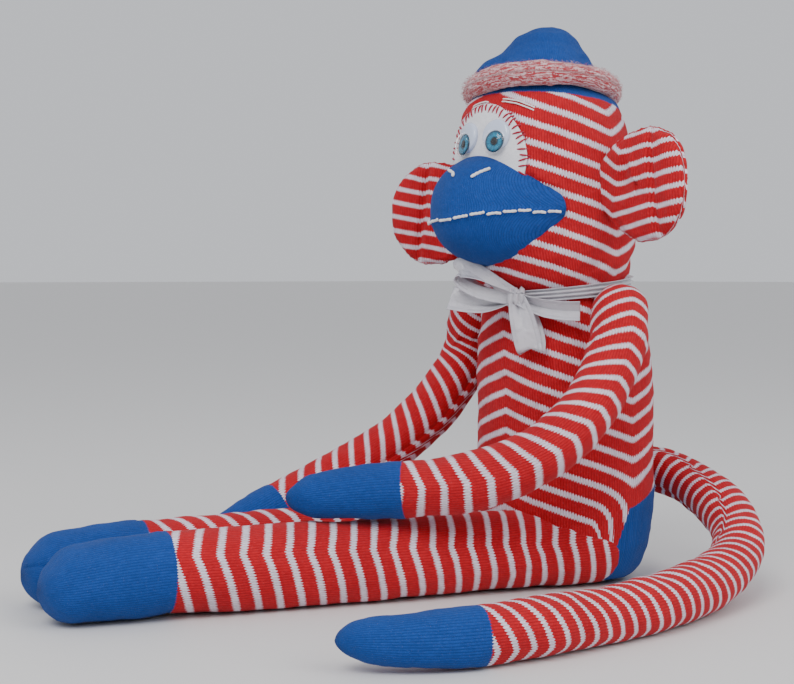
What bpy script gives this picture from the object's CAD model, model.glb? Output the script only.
"""Looks of the stuffed sock monkey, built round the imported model.

Shapes are worked out in millimetres and become metres in make_piece().  The knit coordinates of every
sock piece are kept in its UV map: x counts ribs (wales) and y counts stripes.
"""
from math import cos, pi, radians, sin

import bmesh
import bpy
import numpy as np
from mathutils import Matrix, Vector, noise


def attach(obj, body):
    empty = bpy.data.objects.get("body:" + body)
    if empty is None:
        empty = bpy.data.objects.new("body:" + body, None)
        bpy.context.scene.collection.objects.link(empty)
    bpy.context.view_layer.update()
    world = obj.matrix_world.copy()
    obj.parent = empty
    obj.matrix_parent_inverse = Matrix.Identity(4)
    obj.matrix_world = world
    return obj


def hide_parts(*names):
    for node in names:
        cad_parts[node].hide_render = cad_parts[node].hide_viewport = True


MM = 0.001
SEAT = Vector((-3, -16, 0)) * MM  # from the body axis, where shapes are drawn, to the frame's origin
SIDES = {"left": 1, "right": -1}
FLOOR_HALF = 30e3

# Shape of the body and head: height, centre of the round section along Y, radius.
TORSO = [(0, 0, 24), (3, 0, 31), (8, 0, 36.5), (18, 0, 41.2), (30, 0, 43), (45, 0, 43.6), (65, 0, 43.4),
         (85, 0, 43.4), (100, -0.6, 43.4), (112, -1.5, 42.8), (128, -4.5, 40.6), (138, -7.5, 38),
         (145, -9, 36.8)]
HEAD = [(145.6, -9, 36.6), (150.5, -9.6, 37.8), (158, -11.5, 40.8), (170, -14.5, 43.6), (188, -17, 43.6),
        (200, -17.7, 43.3), (212, -18, 42.6), (222, -18, 41), (230, -18, 38.5), (236, -18, 35.5),
        (241, -18, 31), (246, -18, 24), (250, -18, 14), (251.5, -18, 5)]
HEAD_TURN = radians(-3)
VALLEY = radians(96)            # where the stripes of the head turn up again, round from the front
PATCH = (1.5, 204.5, 24.2, 27.5)   # middle of the eye patch (x, z), half its width and half its height
NECK = np.array([0.0, -9.0, 0.0])
MUZZLE_HALF = 39.5               # half the width of the muzzle, and the middle of its back
MUZZLE_Y = -46
MUZZLE_Z = 183
HEAD_PITCH = 9.4                 # height of one red and white stripe on the head, and on the ears
EAR_PITCH = 7.3
BODY_R = 43.5                    # radius by which stripes are measured round the body and head
BODY_WALES = 204                 # ribs round the body and head
YARN_BLEND = 1.1                 # half the width over which the blue yarn takes over, in mm
BLUE_LEVEL = 0.65                # value of the blue attribute at the change of yarn

LEG_R = 19.5
LEG_LENGTH = 294.0
LEG_TURN = radians(19.6)
HIP_SPREAD = 41.0
FORWARD = np.array([-sin(LEG_TURN), -cos(LEG_TURN), 0.0])     # direction of both legs
ACROSS = np.array([cos(LEG_TURN), -sin(LEG_TURN), 0.0])
FOOT_LENGTH = 62.0
HEEL_Z = 41.0                    # top of the blue heel pocket at the side, and how it rises to the back
HEEL_SLOPE = 0.35
CROWN_Z = 233.1                  # where the blue toe of the head sock starts

ARM_R = 13.3                     # the arms bulge a little beyond their plain solids
HAND_LENGTH = 52.0
TAIL_R = 12.3
TAIL_TIP_LENGTH = 54.0
ARM_ROUTE = {
    "left": [(48, -16, 134), (54.5, -24, 119), (56.5, -34, 101), (54.5, -49, 84), (47.5, -67, 69),
             (32, -84, 59.5), (10, -100, 54.5), (-10, -115.5, 53), (-25.5, -138, 51)],
    "right": [(-50, -14, 134), (-56.5, -10, 121), (-59, -10, 106), (-62, -26, 87), (-70, -44, 67.5),
              (-81, -70, 52.5), (-90, -95, 42), (-98, -121, 29), (-105, -140, 19)],
}
TAIL_ROUTE = [(0, 46, 52), (11.6, 59.4, 51.5), (28.2, 63, 46.5), (51, 56.4, 39.5),
              (72.6, 43, 32), (87.2, 28.4, 24), (97, 8, 16.5), (104.6, -19.6, TAIL_R),
              (111.2, -54, TAIL_R), (116, -91.6, TAIL_R), (116.6, -128, TAIL_R),
              (114.2, -159.6, TAIL_R), (106, -187, TAIL_R), (88.6, -208.6, TAIL_R)]

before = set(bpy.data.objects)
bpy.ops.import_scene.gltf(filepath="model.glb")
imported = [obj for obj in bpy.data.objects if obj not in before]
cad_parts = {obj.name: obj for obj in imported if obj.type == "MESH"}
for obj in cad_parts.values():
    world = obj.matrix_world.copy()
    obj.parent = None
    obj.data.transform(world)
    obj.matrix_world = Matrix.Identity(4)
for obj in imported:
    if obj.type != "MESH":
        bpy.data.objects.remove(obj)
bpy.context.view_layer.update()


def link(thing):
    bpy.context.scene.collection.objects.link(thing)


def bell(distance, width):
    """1 at a distance of 0, and falling to nothing within about two widths."""
    return np.exp(-(distance / width) ** 2)


def bent(value, power):
    """A power that keeps the sign."""
    return np.sign(value) * np.abs(value) ** power


# ---------------------------------------------------------------- camera, light and floor
def stage():
    camera = bpy.data.objects.new("camera", bpy.data.cameras.new("camera"))
    link(camera)
    camera.data.sensor_width = 36
    camera.data.lens = 77.1
    camera.location = Vector((0.5696, -0.6366, 0.1515)) + SEAT
    camera.rotation_euler = (radians(90 - 2.26), 0, radians(47.5))
    camera.data.clip_start = 0.05
    bpy.context.scene.camera = camera

    floor = make_piece("floor", FLOOR_HALF * np.array([(-1, -1, 0), (1, -1, 0), (1, 1, 0), (-1, 1, 0)]),
                       [(0, 1, 2, 3)], plain("floor_paint", (0.74, 0.73, 0.72), 0.6))

    world = bpy.data.worlds.new("world")
    bpy.context.scene.world = world
    world.use_nodes = True
    world.node_tree.nodes["Background"].inputs[0].default_value = (0.93, 0.95, 1.0, 1)
    world.node_tree.nodes["Background"].inputs[1].default_value = 0.75
    aim = Vector((0, -0.08, 0.1))
    for name, place, size, power in (("key", (0.55, -1.25, 1.35), 0.9, 19),
                                     ("fill", (1.3, 0.1, 0.9), 1.0, 8)):
        light = bpy.data.objects.new(name, bpy.data.lights.new(name, "AREA"))
        light.data.size = size
        light.data.energy = power
        light.location = place
        light.rotation_euler = (aim - Vector(place)).to_track_quat("-Z", "Y").to_euler()
        link(light)


# ---------------------------------------------------------------- materials
class Graph:
    """Small helper that wires shader nodes; a value may be a number, a colour or a socket."""

    def __init__(self, name):
        self.material = bpy.data.materials.new(name)
        self.material.use_nodes = True
        self.tree = self.material.node_tree
        self.shader = self.tree.nodes["Principled BSDF"]

    def put(self, socket, value):
        if isinstance(value, bpy.types.NodeSocket):
            self.tree.links.new(value, socket)
        elif value is not None:
            socket.default_value = value

    def node(self, kind, inputs=(), out=0, **settings):
        node = self.tree.nodes.new("ShaderNode" + kind)
        for key, value in settings.items():
            setattr(node, key, value)
        for key, value in dict(inputs).items():
            self.put(node.inputs[key], value)
        return node.outputs[out]

    def math(self, operation, a, b=None, c=None):
        return self.node("Math", {0: a, 1: b, 2: c}, operation=operation)

    def mad(self, a, b, c):
        """a times b, plus c."""
        return self.math("MULTIPLY_ADD", a, b, c)

    def times(self, a, b):
        return self.math("MULTIPLY", a, b)

    def noise(self, scale, detail=2.0, vector=None, **more):
        """Soft noise, by default in the piece's own coordinates."""
        vector = vector or self.node("TexCoord", out=3)
        return self.node("TexNoise", {"Vector": vector, "Scale": scale, "Detail": detail, **more})

    def knit_map(self):
        """The knit coordinates: the pair, ribs and stripes."""
        uv = self.node("UVMap", uv_map="knit")
        return uv, self.node("SeparateXYZ", {0: uv}, 0), self.node("SeparateXYZ", {0: uv}, 1)

    def shade(self, colour, fade):
        """A colour made darker or lighter by a factor."""
        grey = self.node("CombineColor", {0: fade, 1: fade, 2: fade})
        return self.mix(1.0, colour, grey, "MULTIPLY")

    def mix(self, share, a, b, kind="MIX"):
        node = self.tree.nodes.new("ShaderNodeMix")
        node.data_type = "RGBA"
        node.blend_type = kind
        for index, value in ((0, share), (6, a), (7, b)):
            self.put(node.inputs[index], value)
        return node.outputs[2]

    def blur(self, value, low, high):
        """0 below low, 1 above high."""
        return self.node("MapRange", {0: value, 1: low, 2: high}, interpolation_type="SMOOTHSTEP")

    def finish(self, colour, roughness, bump=None, distance=0.0002, **more):
        self.put(self.shader.inputs["Base Color"], colour)
        self.put(self.shader.inputs["Roughness"], roughness)
        if bump is not None:
            normal = self.node("Bump", {"Height": bump, "Distance": distance, "Strength": 1.0})
            self.put(self.shader.inputs["Normal"], normal)
        for key, value in more.items():
            self.put(self.shader.inputs[key.replace("_", " ")], value)
        return self.material


def rgb(*values):
    return (*values, 1.0)


def plain(name, colour, roughness):
    return Graph(name).finish(rgb(*colour), roughness)


ROWS = 10          # courses of stitches in one red and white stripe
WHITE_ROWS = 3
RED = rgb(0.53, 0.014, 0.022)
WHITE = rgb(0.80, 0.72, 0.82)
BLUE = rgb(0.013, 0.070, 0.31)


def knit(name, striped=True):
    """Ribbed jersey: columns of V stitches, coloured course by course."""
    g = Graph(name)
    _, x, y = g.knit_map()
    wale = g.math("FLOOR", x)
    off = g.math("ABSOLUTE", g.math("SUBTRACT", g.math("FRACT", x), 0.5))   # from the middle of the rib
    waver = g.noise(900.0, 1.0)
    row = g.mad(y, float(ROWS), g.mad(off, 2.4, g.times(waver, 0.9)))
    course = g.math("FLOOR", row)
    stitch = g.node("TexWhiteNoise", {"Vector": g.node("CombineXYZ", {0: wale, 1: course})},
                    noise_dimensions="3D")

    colour = BLUE
    if striped:
        share = g.math("FRACT", g.math("DIVIDE", g.math("ADD", course, 0.5), float(ROWS)))
        colour = g.mix(g.math("LESS_THAN", share, WHITE_ROWS / ROWS), RED, WHITE)
        blue_here = g.math("ADD", g.node("Attribute", attribute_name="blue", out=2),
                           g.mad(off, 1.2, g.times(waver, 0.8)))
        colour = g.mix(g.blur(blue_here, 0.55, 0.75), colour, BLUE)

    # Worn and stretched patches, single stitches lighter or darker, dark grooves between ribs.
    wear = g.mad(g.noise(38.0, 3.0), 0.34, 0.80)
    wear = g.times(wear, g.mad(stitch, 0.20, 0.90))
    groove = g.mad(g.math("POWER", g.times(off, 2.0), 3.0), -0.34, 1.0)
    between = g.math("ABSOLUTE", g.mad(g.math("FRACT", row), 2.0, -1.0))
    gap = g.mad(g.math("POWER", between, 4.0), -0.16, 1.0)
    colour = g.shade(colour, g.times(wear, g.times(groove, gap)))
    lint = g.noise(2600.0)
    colour = g.mix(g.times(g.blur(lint, 0.58, 0.80), 0.12), colour, rgb(0.70, 0.50, 0.58))

    ridge = g.mad(g.math("POWER", g.times(off, 2.0), 2.0), -1.0, 1.0)
    knot = g.math("SINE", g.times(g.math("FRACT", row), pi))
    height = g.mad(ridge, 0.7, g.mad(knot, 0.35, g.times(lint, 0.35)))
    return g.finish(colour, 0.92, height, 0.00022, Sheen_Weight=0.06, Sheen_Roughness=0.4,
                    Specular_IOR_Level=0.12)


def fibrous(name, colour, second, scale, relief):
    """Felt, thread or brushed yarn: two close tones broken up by fine noise."""
    g = Graph(name)
    soft = g.noise(scale, 4.0, Roughness=0.7)
    colour = g.mix(g.blur(soft, 0.36, 0.64), colour, second)
    colour = g.shade(colour, g.mad(g.noise(scale * 0.12), 0.25, 0.87))
    return g.finish(colour, 0.95, soft, relief, Sheen_Weight=0.3, Specular_IOR_Level=0.2)


def satin(name):
    """Shiny ribbon: fine cords across the width, soft creases, a strong stretched sheen."""
    g = Graph(name)
    _, x, y = g.knit_map()
    thread = g.math("SINE", g.times(y, 2 * pi * 4.0))
    weft = g.math("SINE", g.times(x, 2 * pi * 3.0))
    edge = g.blur(g.math("ABSOLUTE", x), 4.2, 4.6)
    crumple = g.noise(260.0, 3.0)
    colour = g.mix(g.mad(crumple, 0.5, g.times(edge, 0.3)), rgb(0.74, 0.72, 0.77), rgb(0.55, 0.54, 0.61))
    height = g.mad(thread, 0.04, g.mad(weft, 0.03, g.mad(crumple, 1.6, g.times(edge, 0.25))))
    return g.finish(colour, 0.26, height, 0.0011, Anisotropic=0.7, Specular_IOR_Level=0.9,
                    Coat_Weight=0.7, Coat_Roughness=0.16)


def melange(name):
    """Brushed marl of red and white yarn, with strands that wander round the brim."""
    g = Graph(name)
    uv, _, _ = g.knit_map()
    strand = g.noise(3.2, 3.0, g.node("Mapping", {0: uv, 3: (0.10, 0.5, 1)}), Distortion=0.8)
    speck = g.noise(1500.0, 3.0)
    share = g.blur(g.mad(speck, 0.45, strand), 0.66, 0.84)
    colour = g.mix(share, rgb(0.40, 0.025, 0.035), rgb(0.70, 0.50, 0.52))
    return g.finish(colour, 0.95, g.math("ADD", strand, speck), 0.0005, Sheen_Weight=0.5,
                    Specular_IOR_Level=0.15)


# ---------------------------------------------------------------- mesh helpers
def make_piece(name, co, faces, material, around=None, wales=1.0, stripe=None, blue=None, wale=None):
    """Mesh piece from millimetres; around is in turns, or wale gives the ribs directly."""
    co = np.asarray(co, float).reshape(-1, 3)
    mesh = bpy.data.meshes.new(name)
    mesh.from_pydata((co * MM).tolist(), [], [list(map(int, f)) for f in faces])
    mesh.shade_smooth()
    if stripe is not None:
        loops = np.zeros(len(mesh.loops), np.int32)
        mesh.loops.foreach_get("vertex_index", loops)
        sizes = np.zeros(len(mesh.polygons), np.int32)
        mesh.polygons.foreach_get("loop_total", sizes)
        if wale is None:
            turn = around[loops]
            starts = np.concatenate([[0], np.cumsum(sizes)[:-1]])
            first = np.repeat(turn[starts], sizes)
            ribs = (turn + np.round(first - turn)) * wales
        else:
            ribs = wale[loops]
        layer = mesh.uv_layers.new(name="knit")
        layer.data.foreach_set("uv", np.column_stack([ribs, stripe[loops]]).astype(np.float32).ravel())
    if blue is not None:
        attribute = mesh.attributes.new("blue", "FLOAT", "POINT")
        attribute.data.foreach_set("value", np.asarray(blue, np.float32))
    mesh.materials.append(material)
    piece = bpy.data.objects.new(name, mesh)
    link(piece)
    return piece


def grid_faces(rows, columns, closed=True):
    """Quads over a grid of vertices stored row by row."""
    i, j = np.meshgrid(np.arange(rows - 1), np.arange(columns if closed else columns - 1), indexing="ij")
    a = i * columns + j
    b = i * columns + (j + 1) % columns
    return np.stack([a, b, b + columns, a + columns], -1).reshape(-1, 4).tolist()


def cap_faces(ring, pole, flip):
    """Triangles from a closed ring of vertices to one pole vertex."""
    faces = [(ring[i], ring[(i + 1) % len(ring)], pole) for i in range(len(ring))]
    return [f[::-1] for f in faces] if flip else faces


def with_poles(grid):
    """Rings of vertices as one list, then the middles of the first and last ring."""
    return np.vstack([grid.reshape(-1, 3), grid[0].mean(0), grid[-1].mean(0)])


def values_with_poles(grid):
    """Values on rings of vertices, in the order of with_poles()."""
    return np.concatenate([grid.ravel(), [grid[0].mean(), grid[-1].mean()]])


def closed_faces(rows, sides):
    """Faces of a closed skin whose vertices are ordered as with_poles() orders them."""
    low = cap_faces(list(range(sides)), rows * sides, True)
    high = cap_faces([(rows - 1) * sides + i for i in range(sides)], rows * sides + 1, False)
    return grid_faces(rows, sides) + low + high


def smooth_route(points, step):
    """Evenly spaced points on a cubic B-spline that starts and ends at the route's own ends."""
    p = np.array(points, float)
    p = np.vstack([2 * p[0] - p[1], p, 2 * p[-1] - p[-2]])
    t = np.linspace(0, 1, 24, endpoint=False)[:, None]
    line = [((1 - t) ** 3 * a + (3 * t ** 3 - 6 * t ** 2 + 4) * b + (-3 * t ** 3 + 3 * t ** 2 + 3 * t + 1) * c
             + t ** 3 * d) / 6 for a, b, c, d in zip(p, p[1:], p[2:], p[3:])]
    line = np.vstack(line + [p[-2:-1]])
    length = np.concatenate([[0], np.cumsum(np.linalg.norm(np.diff(line, axis=0), axis=1))])
    count = max(int(length[-1] / step), 2)
    along = np.linspace(0, length[-1], count + 1)
    return np.column_stack([np.interp(along, length, line[:, k]) for k in range(3)]), along


def unit(v):
    v = np.asarray(v, float)
    return v / np.linalg.norm(v, axis=-1, keepdims=True)


class Tube:
    """Round skin along a centre line, with rounded ends.

    turn is 0 on the side of up and grows towards tangent x up; along is the distance on the centre line."""

    def __init__(self, line, along, radius, up, sides, end_rings=6, start_round=1.0, end_round=1.0):
        tangent = unit(np.gradient(line, axis=0))
        first, last = radius(along[0]), radius(along[-1])
        angles = np.linspace(pi / 2, 0, end_rings, endpoint=False)
        head = [line[0] - tangent[0] * first * start_round * sin(a) for a in angles]
        tail = [line[-1] + tangent[-1] * last * end_round * sin(a) for a in angles[::-1]]
        self.centre = np.vstack([head, line, tail])
        self.tangent = np.vstack([[tangent[0]] * end_rings, tangent, [tangent[-1]] * end_rings])
        self.along = np.concatenate([along[0] - first * start_round * angles, along,
                                     along[-1] + last * end_round * angles[::-1]])
        shrink = np.concatenate([np.cos(angles), np.ones(len(line)), np.cos(angles[::-1])])
        self.size = np.array([radius(a) for a in np.clip(self.along, along[0], along[-1])]) * shrink
        self.one = unit(up - (self.tangent @ up)[:, None] * self.tangent)
        self.two = np.cross(self.tangent, self.one)
        self.rows, self.sides = len(self.centre), sides
        self.turn = np.tile(np.arange(sides) / sides, (self.rows, 1))
        theta = 2 * pi * self.turn[..., None]
        self.out = self.one[:, None] * np.cos(theta) + self.two[:, None] * np.sin(theta)
        self.co = self.centre[:, None] + self.out * np.maximum(self.size, 0.3)[:, None, None]
        self.length = np.repeat(self.along[:, None], sides, 1)

    def faces(self):
        return closed_faces(self.rows, self.sides)

    def vertices(self):
        return with_poles(self.co)

    def flat(self, values):
        """Grid values as one list, with the two poles added."""
        return values_with_poles(np.broadcast_to(values, (self.rows, self.sides)))


def wrap(turn):
    """Turns brought to the range from -0.5 to 0.5."""
    return turn - np.round(turn)


def lumps(co, size, seed, octaves=2):
    """Smooth noise from about -1 to 1 at each point, for wadding that isn't even."""
    shift = Vector((seed * 17.3, seed * 5.1, seed * 9.7))
    flat = np.asarray(co, float).reshape(-1, 3)
    values = [noise.fractal(Vector(p) / size + shift, 1.0, 2.0, octaves) for p in flat]
    return np.array(values).reshape(co.shape[:-1])


def on_floor(co, low, soft):
    """Presses what would reach below the floor flat on to it."""
    z, top = co[..., 2], low + soft
    co[..., 2] = np.where(z < top, low + soft * np.exp((np.minimum(z, top) - low - soft) / soft), z)
    return co


CLOTH_FRAMES = 14


def stuff(piece, pressure, swell, cap, hold):
    """Cloth under the pressure of the wadding: swells, buckles and wrinkles by at most cap millimetres."""
    scene = bpy.context.scene
    work = bpy.data.objects.new("cloth_work", piece.data.copy())
    link(work)
    modifier = work.modifiers.new("cloth", "CLOTH")
    cloth = modifier.settings
    cloth.quality = 4
    cloth.mass = 0.3
    cloth.use_pressure = True
    cloth.uniform_pressure_force = pressure
    cloth.shrink_min = -swell
    cloth.tension_stiffness = 20
    cloth.compression_stiffness = 20
    cloth.bending_stiffness = 0.02
    cloth.effector_weights.gravity = 0
    group = work.vertex_groups.new(name="hold")
    group.add([int(index) for index in np.flatnonzero(hold)], 1.0, "REPLACE")
    cloth.vertex_group_mass = "hold"
    modifier.point_cache.frame_start = 1
    modifier.point_cache.frame_end = CLOTH_FRAMES
    for number in range(1, CLOTH_FRAMES + 1):
        scene.frame_set(number)
    moved = work.evaluated_get(bpy.context.evaluated_depsgraph_get()).data
    after = np.zeros(len(moved.vertices) * 3, np.float32)
    moved.vertices.foreach_get("co", after)
    before = np.zeros(len(after), np.float32)
    piece.data.vertices.foreach_get("co", before)
    step = (after - before).reshape(-1, 3)
    size = np.linalg.norm(step, axis=1, keepdims=True)
    step *= np.minimum(1, cap * MM / np.maximum(size, 1e-9))
    settled = before.reshape(-1, 3) + step
    settled[:, 2] = np.maximum(settled[:, 2], 0.0003)
    piece.data.vertices.foreach_set("co", settled.astype(np.float32).ravel())
    piece.data.update()
    bpy.data.objects.remove(work)
    scene.frame_set(1)


def refine(piece):
    """Applies a subdivision surface, so that later detail has vertices to move."""
    modifier = piece.modifiers.new("fine", "SUBSURF")
    modifier.levels = modifier.render_levels = 1
    graph = bpy.context.evaluated_depsgraph_get()
    piece.data = bpy.data.meshes.new_from_object(piece.evaluated_get(graph), preserve_all_data_layers=True,
                                                 depsgraph=graph)
    piece.modifiers.clear()


def read_co(piece):
    co = np.zeros(len(piece.data.vertices) * 3)
    piece.data.vertices.foreach_get("co", co)
    return co.reshape(-1, 3) / MM


def write_co(piece, co):
    piece.data.vertices.foreach_set("co", (co * MM).astype(np.float32).ravel())
    piece.data.update()


def push(piece, amount):
    """Moves each vertex along its normal by amount(co) millimetres."""
    co = read_co(piece)
    normals = np.zeros(len(co) * 3, np.float32)
    piece.data.vertices.foreach_get("normal", normals)
    write_co(piece, co + normals.reshape(-1, 3) * amount(co)[:, None])


def turn_head(piece):
    """The head looks a little to the monkey's right; its ears, face and hat turn with it."""
    pivot = Vector(NECK * MM)
    spin = Matrix.Rotation(HEAD_TURN, 4, "Z")
    piece.data.transform(Matrix.Translation(pivot) @ spin @ Matrix.Translation(-pivot))
    return piece


def section(rows, z):
    """Centre along Y and radius of a round stack at height z, smoothly between its rows."""
    heights = [r[0] for r in rows]
    return np.interp(z, heights, [r[1] for r in rows]), np.interp(z, heights, [r[2] for r in rows])


def soft_section(rows, z, reach=3.0):
    """section() with its corners rounded off."""
    offsets = np.linspace(-reach, reach, 5)
    low, high = rows[0][0], rows[-1][0]
    found = [section(rows, np.clip(z + o, low, high)) for o in offsets]
    return sum(f[0] for f in found) / 5, sum(f[1] for f in found) / 5


# ---------------------------------------------------------------- stripes of the body sock
PIVOT_F, PIVOT_Z = 8.0, 35.0      # end of the crease between belly and thigh, forward of the hip and up
PITCH = 9.2                       # height of one stripe on the body
SIDE_SLOPE = 0.34                 # the stripes fall from the front and back towards both sides


def quarter(co, centre_y, radius):
    """Arc distance from the front or back of the body, whichever is nearer."""
    angle = np.arctan2(np.abs(co[..., 0]), np.abs(co[..., 1] - centre_y))
    return angle * radius


def body_stripe(co, centre_y, radius):
    """Stripe count of the body: peaks at the front and the back, valleys at the sides."""
    fall = SIDE_SLOPE * quarter(co, centre_y, radius)
    side_fall = SIDE_SLOPE * radius * 1.25
    above = (co[..., 2] + fall - side_fall - PIVOT_Z + 4.0) / PITCH
    forward = co[..., 0] * FORWARD[0] + co[..., 1] * FORWARD[1]
    behind = np.clip((PIVOT_F - forward) / PITCH, 0, 2.3)
    low = np.clip((PIVOT_Z + 34 - co[..., 2]) / 34, 0, 1)
    under = behind * low + above * (1 - np.clip(behind, 0, 1))
    return np.where(above > 0, np.hypot(above, behind * low), under)


def heel_blue(co):
    """Above 0 inside the blue heel pocket at the bottom and back of the body."""
    forward = co[..., 0] * FORWARD[0] + co[..., 1] * FORWARD[1]
    below = HEEL_Z + HEEL_SLOPE * np.maximum(co[..., 1], 0) - co[..., 2]
    reach = PIVOT_F - 20 + 0.37 * np.maximum(40 - co[..., 2], 0) - forward
    return np.minimum(below, reach) / YARN_BLEND


def leg_stripe(forward, turn, side):
    """Stripe count on a leg: the stripes point at the foot along the outer side."""
    pitch = np.interp(forward, [0, 230], [8.6, 9.8])
    kink = 0.25 - np.interp(forward, [0, 220], [0.035, 0.09])
    away = np.abs(wrap(turn * side - kink)) * 2 * pi * LEG_R
    away = np.minimum(away, pi * LEG_R * 0.98)
    return -(forward - PIVOT_F + 0.29 * (away - 10)) / pitch


# ---------------------------------------------------------------- body and head
def make_torso(material):
    heights = np.concatenate([np.linspace(0, 12, 6, endpoint=False), np.linspace(12, 145, 48)])
    line = np.array([(0, float(soft_section(TORSO, z)[0]), z) for z in heights])
    sizes = [float(soft_section(TORSO, z, 2.0)[1]) for z in heights]
    tube = Tube(line, heights, lambda s: np.interp(s, heights, sizes), np.array([0, -1.0, 0]), 108,
                end_rings=5, start_round=0.04, end_round=0.05)
    co = tube.vertices()
    centre_y, _ = soft_section(TORSO, co[:, 2])
    piece = make_piece("torso_skin", co, tube.faces(), material, tube.flat(tube.turn), BODY_WALES,
                       body_stripe(co, centre_y, BODY_R), heel_blue(co))
    stuff(piece, pressure=1.2, swell=0.02, cap=1.6, hold=(co[:, 2] > 139) | (co[:, 2] < 1.0))
    refine(piece)
    push(piece, lambda p: 1.1 * lumps(p, 30, 1) + 0.35 * lumps(p * (1, 1, 2.2), 11, 2) - 0.4)
    write_co(piece, on_floor(read_co(piece), 0.2, 1.5))
    return piece


def muzzle_outline(co):
    """Distance outside the muzzle's seam on the head, and the angle round it."""
    x, z = co[:, 0] / 37.5, (co[:, 2] - MUZZLE_Z) / 26.5
    angle = np.arctan2(z, x)
    edge = 1 / np.maximum(np.abs(np.cos(angle)) ** 1.25 + np.abs(np.sin(angle)) ** 1.6, 0.3) ** 0.72
    return (np.hypot(x, z) - edge) * 30, angle


def patch_share(co):
    """Below 1 inside the outline of the eye patch, seen from the front."""
    return np.hypot((co[..., 0] - PATCH[0]) / PATCH[2], (co[..., 2] - PATCH[1]) / PATCH[3])


def make_head(material):
    heights = np.concatenate([np.linspace(145.6, 240, 38, endpoint=False), np.linspace(240, 251.5, 8)])
    line = np.array([(0, float(soft_section(HEAD, z)[0]), z) for z in heights])
    sizes = [float(soft_section(HEAD, z, 2.5)[1]) for z in heights]
    tube = Tube(line, heights, lambda s: np.interp(s, heights, sizes), np.array([0, -1.0, 0]), 112,
                end_rings=4, start_round=0.05, end_round=0.1)
    co = tube.vertices()
    centre_y, _ = soft_section(HEAD, co[:, 2])
    side = np.arctan2(np.abs(co[:, 0]), centre_y - co[:, 1])
    fall = 0.33 * BODY_R * np.where(side < VALLEY, side, (pi - side) * VALLEY / (pi - VALLEY))
    stripe = (co[:, 2] + fall) / HEAD_PITCH + 0.30
    crown_edge = CROWN_Z + 5.5 * np.cos(np.arctan2(co[:, 0], centre_y - co[:, 1]) - 0.3)
    piece = make_piece("head_skin", co, tube.faces(), material, tube.flat(tube.turn), BODY_WALES, stripe,
                       (co[:, 2] - crown_edge) / YARN_BLEND)
    stuff(piece, pressure=1.2, swell=0.02, cap=1.2,
          hold=(co[:, 2] > 236) | (co[:, 2] < 149) | ((patch_share(co) < 1.2) & (co[:, 1] < -30)))
    refine(piece)

    def detail(p):
        away, angle = muzzle_outline(p)
        front = np.clip((-p[:, 1] - 34) / 8, 0, 1)
        pucker = 1 + 0.22 * np.sin(angle * 46) + 0.14 * np.sin(angle * 27 + 1)
        rim = 1.5 * bell(away - 2.6, 2.4) * pucker - 1.6 * bell(away + 0.3, 1.3)
        calm = np.clip((patch_share(p) - 0.95) / 0.15, 0, 1) + (p[:, 1] > -20)
        bumps = 0.9 * lumps(p, 28, 5) + 0.3 * lumps(p * (1, 1, 2), 10, 6) - 0.3
        return (bumps + rim * front) * np.minimum(calm, 1)

    push(piece, detail)
    return turn_head(piece)


def mouth_z(angle):
    """Height of the mouth round the muzzle; 0 is the front."""
    return 181.0 - 4.6 * np.maximum(np.cos(angle + 0.35), 0) ** 3


def make_muzzle(material):
    """Lemon-shaped pad: pointed at both corners of the mouth, full in front."""
    rows, sides = 58, 72
    t = np.linspace(-1, 1, rows)
    x = MUZZLE_HALF * np.sign(t) * (1 - (1 - np.abs(t)) ** 1.25)
    across = np.maximum(1 - np.abs(x / MUZZLE_HALF) ** 1.95, 0) ** 0.9
    angle = np.arange(sides) / sides * 2 * pi
    depth, up = -np.cos(angle), np.sin(angle)
    co = np.zeros((rows, sides, 3))
    co[..., 0] = x[:, None]
    bow = 6 * (x[:, None] / MUZZLE_HALF) ** 2      # the corners of the mouth lie further back
    co[..., 1] = MUZZLE_Y + np.where(depth < 0, 37, 20) * depth[None] * across[:, None] + bow
    co[..., 2] = 182.4 + 28.3 * bent(up, 0.94) * (across[:, None] ** 0.92)
    co = with_poles(co)
    high = np.abs(co[:, 2] - MUZZLE_Z)
    wale = co[:, 0] * (1 + 0.012 * high) + 0.55 * high * np.sign(co[:, 0]) * np.abs(co[:, 0] / 38.5)
    piece = make_piece("muzzle_skin", co, closed_faces(rows, sides), material,
                       stripe=(co[:, 2] - MUZZLE_Z) / 9, wale=wale / 0.95, blue=np.full(len(co), 9.0))
    stuff(piece, pressure=1.5, swell=0.02, cap=1.2, hold=co[:, 1] > -44)
    refine(piece)

    def detail(p):
        line = np.exp(-((p[:, 2] - mouth_z(np.arctan2(p[:, 0], MUZZLE_Y - p[:, 1]))) / 1.6) ** 2)
        line *= np.clip((-p[:, 1] - 42) / 5, 0, 1)
        return 0.8 * lumps(p, 24, 9) - 0.7 * line

    push(piece, detail)
    return turn_head(piece)


def skin_hit(piece, start, direction):
    """Where a line from start (mm) first meets a piece, and the normal there."""
    hit, place, normal, _ = piece.ray_cast(Vector(np.asarray(start, float) * MM), Vector(unit(direction)))
    return (np.array(place) / MM, np.array(normal)) if hit else (None, None)


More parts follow.
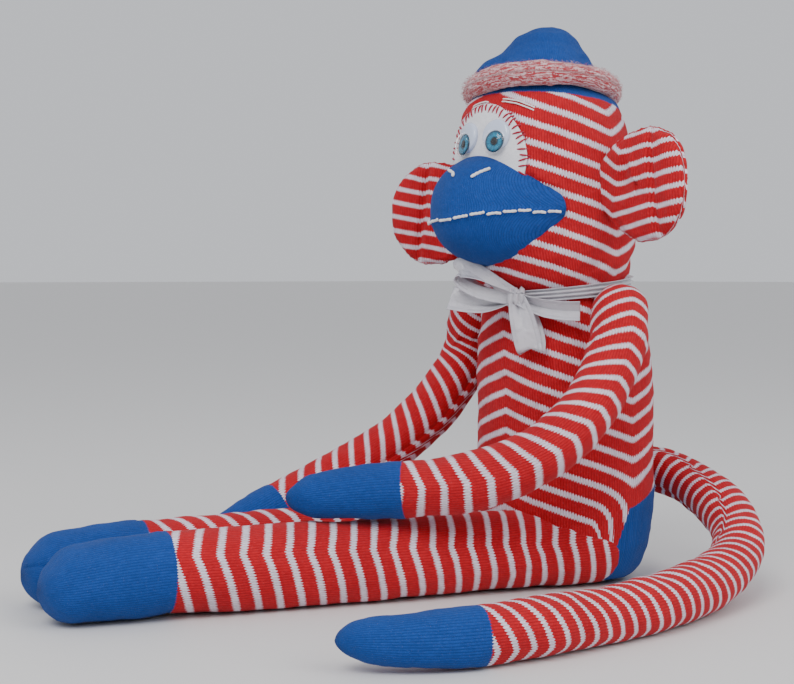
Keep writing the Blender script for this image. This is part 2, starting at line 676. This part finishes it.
def thread(name, runs, radius, material, lift=0.35):
    """Stitches as rounded yarn: each run is a list of (point, normal); the yarn dives in at both ends."""
    all_co, all_faces = [], []
    for run in runs:
        points = np.array([p + n * lift for p, n in run])
        points[0] -= run[0][1] * radius * 1.7
        points[-1] -= run[-1][1] * radius * 1.7
        line, along = smooth_route(points, 0.5)
        tube = Tube(line, along, lambda s: radius, np.array([0.1, -0.3, 1.0]), 8, end_rings=3)
        twist = 1 + 0.16 * np.sin(tube.length * 2.6 / radius * 0.8 + 2 * pi * 2 * tube.turn)
        tube.co = tube.centre[:, None] + tube.out * (np.maximum(tube.size, 0.05)[:, None] * twist)[..., None]
        base = sum(len(c) for c in all_co)
        all_co.append(tube.vertices())
        all_faces += [tuple(i + base for i in f) for f in tube.faces()]
    return make_piece(name, np.vstack(all_co), all_faces, material)


def turned(point):
    """A point of the unturned head, turned with it."""
    c, s = cos(HEAD_TURN), sin(HEAD_TURN)
    d = np.asarray(point, float) - NECK
    return NECK + np.array([d[0] * c - d[1] * s, d[0] * s + d[1] * c, d[2]])


def face_hit(piece, x, z):
    """Where a point of the face, seen from the front, lies on a piece, and the normal there."""
    backwards = turned((0, 100, 0)) - turned((0, 0, 0))
    return skin_hit(piece, turned((x, -140, z)), backwards)


def face_run(piece, points):
    """Points (x, z) on the face, found on a piece, as a run for thread()."""
    hits = [face_hit(piece, x, z) for x, z in points]
    return [hit for hit in hits if hit[0] is not None]


def make_face(head, muzzle, felt, yarn, red_thread):
    """Felt eye patch, its stitches, eyebrows, nostrils and mouth."""
    rings, sides = 16, 96

    def on_patch(share, a):
        return face_hit(head, PATCH[0] + PATCH[2] * share * cos(a), PATCH[1] + PATCH[3] * share * sin(a))

    rows = []
    for k in range(rings + 1):
        share = 1 - (1 - k / rings) ** 1.2
        rows.append([on_patch(share * (1 + 0.008 * sin(10 * pi * i / sides + 1)), 2 * pi * i / sides)
                     for i in range(sides)])
    back = np.array([[place for place, _ in ring] for ring in rows])
    out = np.array([[normal for _, normal in ring] for ring in rows])
    front = back + out * 1.3
    back = back + out * 0.2
    grid = np.concatenate([front[1:], back[1:][::-1]]).reshape(-1, 3)
    count = 2 * rings
    co = np.vstack([grid, front[0].mean(0), back[0].mean(0)])
    patch = make_piece("eye_patch_felt", co, closed_faces(count, sides), felt)
    bpy.context.view_layer.update()

    runs = []
    for i in range(40):
        a = radians(-30 + 240 * i / 39)
        jitter = 0.02 * sin(i * 2.4)
        run = []
        for share, height in ((0.865 + jitter, 1.5), (0.93, 1.75), (0.985, 1.6), (1.035 + jitter * 0.5, 0.5)):
            place, normal = on_patch(share, a + 0.045 * sin(i * 1.7) * (share - 0.9) * 8)
            run.append((place + normal * height, normal))
        runs.append(run)
    patch_stitches = thread("eye_patch_thread", runs, 0.42, red_thread, 0.05)

    near_brow = ((9.2, 234.8), (17.3, 233.2), (25, 230.0))
    far_brow = ((0.3, 234.0), (-5, 233.4), (-10.1, 232.2))
    brows = []
    for brow in (near_brow, far_brow):
        x, z = np.array(brow).T
        fine = np.linspace(0, 2, 9)
        for drop in (0, 1.3):
            points = zip(np.interp(fine, range(3), x), np.interp(fine, range(3), z) - drop)
            brows.append(face_run(head, points))
    brow_yarn = thread("eyebrow_yarn", brows, 0.36, yarn, 0.6)

    nostrils = [face_run(muzzle, points) for points in (((11.9, 196.8), (12.7, 199.4), (15.5, 200.3)),
                                                        ((-3.0, 200.1), (0.3, 199.6), (2.4, 197.6)))]
    nostril_yarn = thread("nostril_yarn", nostrils, 0.75, yarn)

    mouth = []
    count, reach, share = 16, 91.0, 0.74
    pitch = 2 * reach / count
    for i in range(count):
        run = []
        for k in range(4):
            a = radians(-reach + pitch * (i + share * k / 3))
            outwards = turned(NECK + np.array([sin(a), -cos(a), 0])) - NECK
            middle = turned((0, -42, float(mouth_z(a)) + 0.4 * sin(i * 2.1)))
            place, normal = skin_hit(muzzle, middle + outwards * 90, -outwards)
            if place is not None:
                run.append((place, normal))
        if len(run) == 4:
            mouth.append(run)
    mouth_yarn = thread("mouth_yarn", mouth, 0.66, yarn)
    return patch, patch_stitches, brow_yarn, nostril_yarn, mouth_yarn


def make_ear(side_name, material):
    """Stuffed cup: two rounds of sock sewn at the rim, pinched where it joins the head."""
    side = SIDES[side_name]
    sweep, z = {"left": (0.0, 194.0), "right": (radians(28), 184.0)}[side_name]
    out = np.array([side * cos(sweep), -sin(sweep), 0])
    front = np.array([-side * sin(sweep), -cos(sweep), 0])
    middle = np.array([side * 43.2, -16, z]) + out * 22.5
    rows, sides = 52, 112
    t = (np.arange(rows) + 0.5) / rows * pi
    a = np.arange(sides) / sides * 2 * pi
    share = np.sin(t)[:, None] ** 0.85
    u = 27 * share * bent(np.cos(a), 0.9)
    w = 25.2 * share * bent(np.sin(a), 0.9)
    w *= 1 - 0.24 * np.clip(-np.cos(a) * share, 0, 1)        # narrower where it joins the head
    w = w - 1.8 * share * np.clip(np.cos(a + 1.2), 0, 1) ** 3
    d = 7.4 * np.sign(np.cos(t))[:, None] * np.abs(np.cos(t))[:, None] ** 0.75 * np.ones(sides)
    hollow = 3.6 * np.exp(-((u + 10) / 10) ** 2 - (w / 11) ** 2)
    hollow += 3.6 * bell(u - 9.5 + 0.12 * w, 1.6)
    hollow += 1.8 * np.exp(-((u + 8 - 0.2 * w) / 2.2) ** 2 - ((w - 9) / 9) ** 2)
    d = np.where(d > 0, d - hollow * np.abs(np.cos(t))[:, None], d)
    d = d + 1.8 * (u / 26) ** 2 + 1.2 * (w / 26) ** 2
    kink = -12 + 0.16 * w
    slant = np.where(u > kink, -0.2 * (u - kink), -0.55 * (kink - u))
    stripe = (w + slant) / EAR_PITCH + 0.1 + 0.22 * (u > 9.5 - 0.12 * w)
    stripe = np.where(np.cos(t)[:, None] < 0.05, w / EAR_PITCH + 0.55, stripe)
    co = middle + u[..., None] * out + d[..., None] * front + w[..., None] * np.array([0, 0, 1.0])
    co = with_poles(co)
    faces = closed_faces(rows, sides)
    if side < 0:
        faces = [f[::-1] for f in faces]
    piece = make_piece("ear_skin_" + side_name, co, faces, material, stripe=values_with_poles(stripe),
                       wale=values_with_poles(u) / 1.25, blue=np.full(len(co), -9.0))
    stuff(piece, pressure=1.0, swell=0.03, cap=0.9, hold=values_with_poles(u) < -16)
    refine(piece)

    def detail(p):
        q = p - middle
        flat = np.hypot(q @ out, q[:, 2])
        deep = q @ front - 1.8 * ((q @ out) / 26) ** 2 - 1.2 * (q[:, 2] / 26) ** 2
        angle = np.arctan2(q[:, 2], q @ out)
        seam = np.exp(-(deep / 0.8) ** 2) * (flat > 19) * (0.8 + 0.3 * np.sin(angle * 60))
        return 0.7 * lumps(p, 14, 11 + side) - 0.7 * seam

    push(piece, detail)
    return turn_head(piece)


def hat_place(co):
    """From the hat's own upright frame to its tipped place on the head, in millimetres."""
    place = (Matrix.Translation((0, -18, 241)) @ Matrix.Rotation(radians(45), 4, "Z")
             @ Matrix.Rotation(radians(-10), 4, "X"))
    return np.array([tuple(place @ Vector(p)) for p in co])


HAT_OUTLINE = [(29.5, 1), (29.2, 5), (27.5, 9), (25, 13), (22.5, 17), (19.5, 21), (16, 26.4), (10.5, 30.6),
               (5, 33), (2, 33.5)]          # radius and height
BRIM_R = 33.3
BRIM_THICK = 5.5


def make_hat(material, marl, strands):
    """Soft knitted cap with a small fold, and its brushed rolled brim."""
    outline = np.array(HAT_OUTLINE, float)
    fine = np.linspace(0, len(outline) - 1, 34)
    keys = range(len(outline))
    profile = np.column_stack([np.interp(fine, keys, outline[:, k]) for k in range(2)])
    sides = 84
    a = np.arange(sides) / sides * 2 * pi
    lean = (profile[:, 1] / 31)[:, None] ** 2
    fold = np.exp(-(wrap((a - 3.1) / (2 * pi)) * 2 * pi / 0.5) ** 2)
    fold = 1 + 0.2 * (fold * np.exp(-((profile[:, 1:] - 13) / 5) ** 4))
    co = np.stack([profile[:, :1] * fold * np.cos(a) + 2.5 * lean, profile[:, :1] * fold * np.sin(a),
                   profile[:, 1:] * np.ones(sides)], -1)
    flat = with_poles(co)
    turn = np.concatenate([np.tile(a / (2 * pi), len(profile)), [0, 0]])
    crown = make_piece("hat_crown_skin", hat_place(flat), closed_faces(len(profile), sides), material,
                       turn, 170, flat[:, 2] / 9, blue=np.full(len(flat), 9.0))
    stuff(crown, pressure=0.6, swell=0.05, cap=1.3, hold=flat[:, 2] < 6)
    refine(crown)
    push(crown, lambda p: 0.9 * lumps(p, 17, 21, 3))
    turn_head(crown)

    rows, ring = 132, 30
    around = np.arange(rows) / rows * 2 * pi
    tube = np.arange(ring) / ring * 2 * pi
    thick = BRIM_THICK + 0.35 * np.sin(3 * around + 1)[:, None] + 0.25 * np.sin(7 * around)[:, None]
    out = BRIM_R + thick * np.cos(tube)
    brim_co = np.stack([out * np.cos(around)[:, None], out * np.sin(around)[:, None],
                        thick * np.sin(tube)], -1)
    i, j = np.meshgrid(np.arange(rows), np.arange(ring), indexing="ij")
    k, m = (i + 1) % rows, (j + 1) % ring
    faces = np.stack([i * ring + j, k * ring + j, k * ring + m, i * ring + m], -1).reshape(-1, 4)
    brim = make_piece("hat_brim_skin", hat_place(brim_co.reshape(-1, 3)), faces, marl,
                      np.repeat(around / (2 * pi), ring), 200, np.tile(tube / (2 * pi) * 30, rows))
    refine(brim)
    push(brim, lambda p: 0.55 * lumps(p, 7, 31, 3) + 0.25 * lumps(p, 2.2, 32))
    turn_head(brim)

    # Loose fibres that stand out of the brushed yarn.
    rng = np.random.default_rng(5)
    count = 2600
    a, b = rng.uniform(0, 2 * pi, count), rng.uniform(-0.9, 3.6, count)
    curve = bpy.data.curves.new("brim_fuzz", "CURVE")
    curve.dimensions = "3D"
    curve.bevel_depth = 0.055 * MM
    curve.bevel_resolution = 0
    normal = np.stack([np.cos(b) * np.cos(a), np.cos(b) * np.sin(a), np.sin(b)], -1)
    base = np.stack([BRIM_R * np.cos(a), BRIM_R * np.sin(a), 0 * a], -1) + normal * BRIM_THICK
    along = np.stack([-np.sin(a), np.cos(a), 0 * a], -1)
    lean = normal * rng.uniform(0.35, 1.1, (count, 1)) + along * rng.normal(0, 1.3, (count, 1))
    side = np.cross(normal, along) * rng.normal(0, 0.8, (count, 1))
    length = rng.uniform(0.6, 1.5, (count, 1))
    points = [hat_place(base - normal * 0.5), hat_place(base + (lean * 0.6 + side * 0.3) * length),
              hat_place(base + (lean + side) * length)]
    for first, second, third in zip(*points):
        spline = curve.splines.new("POLY")
        spline.points.add(2)
        for point, value in zip(spline.points, (first, second, third)):
            point.co = (*(turned(value) * MM), 1)
        spline.points[2].radius = 0.3
    fuzz = bpy.data.objects.new("brim_fuzz", curve)
    fuzz.data.materials.append(strands)
    link(fuzz)
    return crown, brim, fuzz


# ---------------------------------------------------------------- limbs
def make_leg(name, material):
    side = SIDES[name]
    hip = side * HIP_SPREAD / 2 * ACROSS + np.array([0, 0, LEG_R])
    length = LEG_LENGTH - 2 * LEG_R
    along = np.linspace(0, length, 92)
    line = hip + along[:, None] * FORWARD + side * 1.2 * np.sin(along / length * pi)[:, None] * ACROSS

    def radius(s):
        dent = 0.5 * (s > 190) * sin(min((s - 190) / 12, pi))
        return 19.3 + 0.35 * sin(s / 37 + side) + 0.35 * sin(s / 61) - dent

    tube = Tube(line, along, radius, np.array([0, 0, 1.0]), 76, end_rings=7, end_round=0.75)
    outer = np.cos(2 * pi * (tube.turn + 0.25 * side))
    haunch = bell(tube.length - 2, 26) * np.clip(outer, 0, 1)
    tube.co += (haunch * 2.6)[..., None] * side * ACROSS
    cuff = length + LEG_R - FOOT_LENGTH
    toe_share = np.clip((tube.length - cuff) / FOOT_LENGTH, 0, 1)
    tube.co[..., 2] = np.maximum(tube.co[..., 2] * (1 - 0.22 * toe_share ** 1.3), 0.05)
    toe = bell(tube.length - length - 9, 3.2) * np.exp(-(wrap(tube.turn) / 0.14) ** 2)
    tube.co -= tube.out * (2.2 * toe)[..., None]
    stripe = leg_stripe(tube.length, -tube.turn, side)
    piece = make_piece("leg_skin_" + name, tube.vertices(), tube.faces(), material, tube.flat(tube.turn), 94,
                       tube.flat(stripe), (tube.flat(tube.length) - cuff) / YARN_BLEND)
    stuff(piece, pressure=1.6, swell=0.03, cap=1.3, hold=tube.flat(tube.length) < 18)
    refine(piece)

    def detail(p):
        q = p - hip
        f, h, c = q @ FORWARD, q[:, 2], q @ ACROSS * side
        seam = np.exp(-((np.arctan2(h, -c) - 0.15) / 0.06) ** 2)
        band = bell(f - cuff, 1.2)
        bumps = 0.8 * lumps(p, 22, 41 + side) + 0.3 * lumps(p, 8, 43 + side)
        return bumps - 0.8 * seam - 0.45 * band

    push(piece, detail)
    write_co(piece, on_floor(read_co(piece), 0.3, 2.0))
    return piece


def make_routed_limb(name, route, radius, end_length, up, wales, pitch, kink, slopes, material, seam_turn,
                     drift, seed):
    """Arm or tail: tube along its route, striped, with the blue end of the sock.

    pitch and kink are given at both ends; slopes are the fall of the stripes on each side of the kink."""
    line, along = smooth_route(route, 2.6)
    total = along[-1]
    tube = Tube(line, along, lambda s: radius * (1 + 0.02 * sin(s / 19 + seed) + 0.015 * sin(s / 8.3)),
                up, 60, end_round=1.25)
    kinks = np.interp(tube.length, [0, total], kink)
    away = wrap(tube.turn - kinks)
    slope = np.where(away > 0, slopes[0], slopes[1])
    stripe = tube.length - slope * np.abs(away) * 2 * pi * radius
    stripe = stripe / np.interp(tube.length, [0, total], pitch)
    stripe = stripe + drift * wrap(tube.turn - seam_turn - 0.5)
    cuff = total + radius - end_length
    tip = np.clip((tube.length - cuff) / end_length, 0, 1)[..., None]
    tube.co += (tube.centre[:, None] - tube.co) * 0.34 * tip ** 2
    turn, length = tube.flat(tube.turn), tube.flat(tube.length)
    piece = make_piece(name, tube.vertices(), tube.faces(), material, turn, wales, tube.flat(stripe),
                       (length - cuff) / YARN_BLEND)
    stuff(piece, pressure=1.6, swell=0.04, cap=1.0, hold=length < 8)
    seam = 0.9 * np.exp(-(wrap(turn - seam_turn) / 0.012) ** 2)
    band = 0.35 * bell(length - cuff, 1.5)
    push(piece, lambda p: -(seam + band))
    refine(piece)
    push(piece, lambda p: 0.65 * lumps(p, 15, seed) + 0.25 * lumps(p, 6, seed + 3))
    write_co(piece, on_floor(read_co(piece), 0.3, 1.5))
    return piece


# ---------------------------------------------------------------- ribbon
def ribbon(name, points, across, material, shrink, pleats=1, step=0.8):
    """Strip along a route; across is the direction of its width, and shrink is how far it is gathered."""
    width = RIBBON_WIDTH
    line, along = smooth_route(points, step)
    keys = np.linspace(0, 1, len(across))
    here = np.linspace(0, 1, len(line))
    across = np.array(across, float)
    wide = unit(np.column_stack([np.interp(here, keys, across[:, k]) for k in range(3)]))
    tangent = unit(np.gradient(line, axis=0))
    wide = unit(wide - (wide * tangent).sum(1)[:, None] * tangent)
    out = np.cross(tangent, wide)
    columns = 25
    w = np.linspace(-width / 2, width / 2, columns)
    shrink = np.interp(here, np.linspace(0, 1, len(shrink)), shrink)
    phase = (w / width + 0.5) * pleats
    ripple = np.abs(phase - np.floor(phase) - 0.5) * 2 - 0.5
    depth = np.sqrt(np.maximum(1 - shrink ** 2, 0))[:, None] * ripple * width / pleats / 2
    co = line[:, None] + wide[:, None] * (w * shrink[:, None])[..., None] + out[:, None] * depth[..., None]
    faces = grid_faces(len(line), columns, closed=False)
    piece = make_piece(name, co, faces, material, stripe=np.repeat(along, columns),
                       wale=np.tile(w, len(line)))
    thick = piece.modifiers.new("thick", "SOLIDIFY")
    thick.thickness = 0.25 * MM
    thick.offset = 0
    return piece, along[-1]


RIBBON_WIDTH = 12.7             # half-inch ribbon
KNOT = np.array([13.0, -50.2, 141.0])
BAND_R = 38.6
# Loops and tails: route from the knot, directions of the width, and how far the ribbon is gathered.
BOW = {
    "bow_loop_right": ([(0, 0, 0), (-5.5, -6.5, 5), (-12, -13, 11), (-18.5, -18, 14.5), (-21.5, -19, 12),
                        (-19, -16, 7.5), (-11, -9.5, 2.5), (0, 0, 0)],
                       [(0.7, -0.5, -0.5), (0.62, -0.45, -0.64), (0.5, -0.35, -0.8), (0.62, -0.45, -0.64),
                        (0.7, -0.5, -0.5)],
                       [0.42, 0.8, 0.97, 0.97, 0.8, 0.42]),
    "bow_loop_left": ([(0, 0, 0), (3.5, -1.8, -4), (6.5, -1.8, -12), (8.4, -0.5, -22), (8.8, 1.4, -26),
                       (8.2, 3.6, -21), (5, 3.4, -11), (0, 0, 0)],
                      [(0.676, 0.737, 0.25), (0.676, 0.737, 0.08), (0.676, 0.737, 0), (0.7, 0.7, 0)],
                      [0.5, 0.88, 1, 1, 0.97, 0.88, 0.5]),
    "bow_tail_right": ([(0, 0, 0), (-7.5, -6, -3), (-15, -13, -3.5), (-24, -20, -0.5)],
                       [(0.3, -0.2, -0.9), (0.5, -0.1, -0.8)], [0.45, 0.85, 1.0]),
    "bow_tail_left": ([(0, 0, 0), (8.5, 4.5, -4.5), (17.5, 11, -6.5), (25, 17.5, -6.5)],
                      [(0.05, 0.1, 1), (0, 0, 1)], [0.4, 0.66, 0.72]),
}


def make_bow(material):
    """Satin ribbon: band round the neck, knot, two loops and two cut tails."""
    angle = np.arctan2(9.0, 38.0) + np.linspace(0, 2 * pi, 26)
    low = 0.5 + 0.5 * np.cos(angle)
    band = np.column_stack([BAND_R * np.sin(angle), NECK[1] - BAND_R * np.cos(angle),
                            147.6 - 6.6 * low ** 1.5])
    pieces = {"ribbon_band": ribbon("ribbon_band_satin", band, [(0, 0, 1)] * 3, material,
                                    [0.40, 0.5, 0.62, 0.6, 0.5, 0.40], pleats=3)}
    for name, (route, across, shrink) in BOW.items():
        pieces[name] = ribbon(name + "_satin", [KNOT + np.array(p) for p in route], across, material, shrink)
    near, across = np.array([0.737, -0.676, 0]), np.array([0.676, 0.737, 0.2])
    wrap_round = [KNOT + near * (3.4 * cos(t) + 0.6) + np.array([0, 0, 1]) * 4.2 * sin(t)
                  for t in np.linspace(0, 2 * pi, 9) + 0.4]
    pieces["bow_knot"] = ribbon("bow_knot_satin", wrap_round, [across] * 3, material, [0.62, 0.7, 0.62],
                                pleats=3, step=0.6)
    return pieces


def split_blue(piece, name):
    """Moves the faces that lie in the blue yarn to a piece of their own."""
    values = np.zeros(len(piece.data.vertices), np.float32)
    piece.data.attributes["blue"].data.foreach_get("value", values)
    other = piece.copy()
    other.data = piece.data.copy()
    other.name = other.data.name = name
    link(other)
    is_blue = [np.mean([values[v] for v in face.vertices]) > BLUE_LEVEL for face in piece.data.polygons]
    for mesh, keep_blue in ((piece.data, False), (other.data, True)):
        work = bmesh.new()
        work.from_mesh(mesh)
        doomed = [face for face, blue in zip(work.faces, is_blue) if blue != keep_blue]
        bmesh.ops.delete(work, geom=doomed, context="FACES")
        work.to_mesh(mesh)
        work.free()
    return other


# ---------------------------------------------------------------- assembly
def place(piece, body, slot, nodes=(), fill=None):
    """Moves a finished piece to the frame's origin, and says its body, slot, CAD nodes and filling."""
    piece.data.transform(Matrix.Translation(SEAT))
    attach(piece, body)
    if nodes:
        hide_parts(*nodes)


def place_sock(skin, blue_name, body):
    """Splits the blue yarn off a sock and places both parts."""
    blue = split_blue(skin, blue_name)
    inside = [skin.name.replace("skin", part) for part in ("cover", "stuffing")]
    place(skin, body, "striped_knit", inside, 0.8)
    place(blue, body, "blue_knit", [blue_name.replace("_skin", "")], 0.8)


# Middle of each disc and of the iris on it, as x and z on the face.
EYE = {"left": ((11.9, 217.2), (12.4, 213.8)), "right": ((-6.4, 216.8), (-6.9, 213.4))}


def eye_materials():
    """Milky plastic, printed iris, printed pupil and clear dome."""
    white = Graph("eye_plastic")
    white.finish(white.mix(white.noise(90.0), rgb(0.50, 0.57, 0.74), rgb(0.62, 0.68, 0.82)), 0.14,
                 Coat_Weight=0.6, Coat_Roughness=0.05)
    dark = Graph("eye_pupil_print")
    dark.finish(dark.mix(dark.noise(900.0), rgb(0.004, 0.004, 0.006), rgb(0.012, 0.014, 0.02)), 0.2)
    lens = Graph("eye_lens_clear")
    lens.finish(rgb(1, 1, 1), lens.mad(lens.noise(400.0), 0.02, 0.0), Transmission_Weight=1.0, IOR=1.03,
                Coat_Weight=1.0, Coat_Roughness=0.02, Coat_IOR=1.45)
    iris = Graph("eye_iris_print")
    uv, _, reach = iris.knit_map()
    streak = iris.noise(2.0, 3.0, iris.node("Mapping", {0: uv, 3: (26, 0.5, 1)}), Roughness=0.7)
    colour = iris.mix(iris.blur(streak, 0.35, 0.68), rgb(0.002, 0.09, 0.20), rgb(0.012, 0.30, 0.47))
    colour = iris.mix(iris.blur(reach, 0.68, 0.95), colour, rgb(0.002, 0.035, 0.07))
    colour = iris.mix(iris.blur(reach, 0.52, 0.34), colour, rgb(0.004, 0.04, 0.07))
    iris.finish(colour, 0.25)
    return white.material, iris.material, dark.material, lens.material


def make_button(name, place, normal, profile, material, sides=48):
    """Round piece turned from (radius, height) pairs, standing on a surface."""
    one = unit(np.cross(normal, (0, 0, 1.0)))
    two = np.cross(normal, one)
    a = np.arange(sides) / sides * 2 * pi
    profile = np.array(profile, float)
    ring = one * np.cos(a)[:, None] + two * np.sin(a)[:, None]
    co = place + profile[:, 0, None, None] * ring + profile[:, 1, None, None] * normal
    rows = len(profile)
    faces = [f[::-1] for f in closed_faces(rows, sides)]
    reach = profile[:, 0] / profile[:, 0].max()
    stripe = np.concatenate([np.repeat(reach, sides), [reach[0], 0]])
    around = np.concatenate([np.tile(a / (2 * pi), rows), [0, 0]])
    return make_piece(name, with_poles(co), faces, material, around, 1.0, stripe)


def make_eye(side_name, patch, materials):
    """Safety eye: milky disc, printed iris and pupil under a clear dome, set low on the disc."""
    white, teal, dark, clear = materials
    (x, z), (iris_x, iris_z) = EYE[side_name]
    place, _ = face_hit(patch, x, z)
    side = SIDES[side_name]
    normal = unit(turned(NECK + np.array([0.22 * side, -1.0, 0.16])) - NECK)
    place = place - normal * 0.7
    disc = make_button(f"eye_disc_{side_name}", place, normal,
                       [(7.3, -0.6), (7.55, 0.6), (7.45, 1.25), (7.1, 1.75), (6.4, 2.1), (3, 2.35),
                        (0.5, 2.4)], white)
    toward = turned((iris_x, 0, iris_z)) - turned((x, 0, z))
    seat = place + (toward - (toward @ normal) * normal) + normal * 2.25
    iris = make_button(f"eye_iris_{side_name}_print", seat, normal,
                       [(5.3, 0), (5.3, 0.3), (5.2, 0.38), (3, 0.4), (2, 0.4), (1, 0.4), (0.3, 0.4)], teal)
    pupil = make_button(f"eye_pupil_{side_name}_print", seat + normal * 0.4, normal,
                        [(1.75, 0), (1.75, 0.08), (0.7, 0.1), (0.2, 0.1)], dark, 32)
    dome = [(5.6 * cos(t), 0.5 + 2.6 * sin(t)) for t in np.linspace(0.12, 1.52, 12)]
    lens = make_button(f"eye_lens_{side_name}", seat, normal, [(5.6, -0.1), (5.6, 0.5)] + dome, clear)
    return disc, iris, pupil, lens


def build():
    stage()
    striped = knit("striped_sock")
    blue = knit("blue_sock", striped=False)
    felt = fibrous("white_felt", rgb(0.80, 0.79, 0.82), rgb(0.70, 0.70, 0.74), 1400.0, 0.0002)
    yarn = fibrous("white_yarn", rgb(0.86, 0.85, 0.84), rgb(0.72, 0.71, 0.72), 2200.0, 0.0001)
    red_thread = fibrous("red_thread", rgb(0.30, 0.008, 0.03), rgb(0.42, 0.015, 0.04), 2400.0, 0.0001)
    marl = melange("marled_brim")
    fuzz_yarn = fibrous("brim_fibre", rgb(0.60, 0.36, 0.38), rgb(0.42, 0.05, 0.07), 160.0, 0.00002)
    shiny = satin("satin_ribbon")

    torso = make_torso(striped)
    place_sock(torso, "seat_heel_skin", "torso")

    head = make_head(striped)
    muzzle = make_muzzle(blue)
    bpy.context.view_layer.update()
    patch, *stitches = make_face(head, muzzle, felt, yarn, red_thread)
    materials = eye_materials()
    eyes = [make_eye(name, patch, materials) for name in SIDES]
    place_sock(head, "head_crown_skin", "head")
    place(muzzle, "head", "blue_knit", ("muzzle_cover", "muzzle_stuffing"), 0.8)
    place(patch, "head", "white_felt", ("eye_patch",))
    for piece, slot, part in zip(stitches, ("red_thread", "white_yarn", "white_yarn", "white_yarn"),
                                 ("eye_patch", "eyebrow", "nostril", "mouth")):
        place(piece, "head", slot, (part + "_stitches",))
    for name, (disc, iris, pupil, lens) in zip(SIDES, eyes):
        place(disc, "head", "eye_white", (f"eye_white_{name}", f"eye_post_{name}", f"eye_washer_{name}"))
        place(iris, "head", "eye_teal", (f"eye_iris_{name}",))
        place(pupil, "head", "eye_black", (f"eye_pupil_{name}",))
        place(lens, "head", "eye_lens", (f"eye_dome_{name}",))

    for name in SIDES:
        ear = make_ear(name, striped)
        place(ear, "ear_" + name, "striped_knit", ("ear_cover_" + name, "ear_stuffing_" + name), 0.6)
    hat, brim, fuzz = make_hat(blue, marl, fuzz_yarn)
    place(hat, "head", "blue_knit", ("hat_crown",), 0.3)
    place(brim, "head", "melange_knit", ("hat_brim",), 0.7)
    place(fuzz, "head", "melange_knit")

    for name, side in SIDES.items():
        place_sock(make_leg(name, striped), "foot_skin_" + name, "leg_" + name)
        kink = (0.07 * side, 0.03 * side)
        slopes = (0.42, 0.12) if side > 0 else (0.12, 0.42)
        arm = make_routed_limb("arm_skin_" + name, ARM_ROUTE[name], ARM_R, HAND_LENGTH,
                               np.array([side, 0, 0.0]), 62, [7.2, 9.3], kink, slopes, striped, 0.5, 0.35,
                               51 + side)
        place_sock(arm, "hand_skin_" + name, "arm_" + name)
    tail = make_routed_limb("tail_skin", TAIL_ROUTE, TAIL_R, TAIL_TIP_LENGTH, np.array([0, 0, 1.0]), 60,
                            [8.0, 8.2], (-0.45, -0.30), (0.5, 0.2), striped, 0.35, 0.2, 61)
    place_sock(tail, "tail_tip_skin", "tail")

    for name, (piece, length) in make_bow(shiny).items():
        place(piece, "torso", "satin_ribbon", (name,))


build()
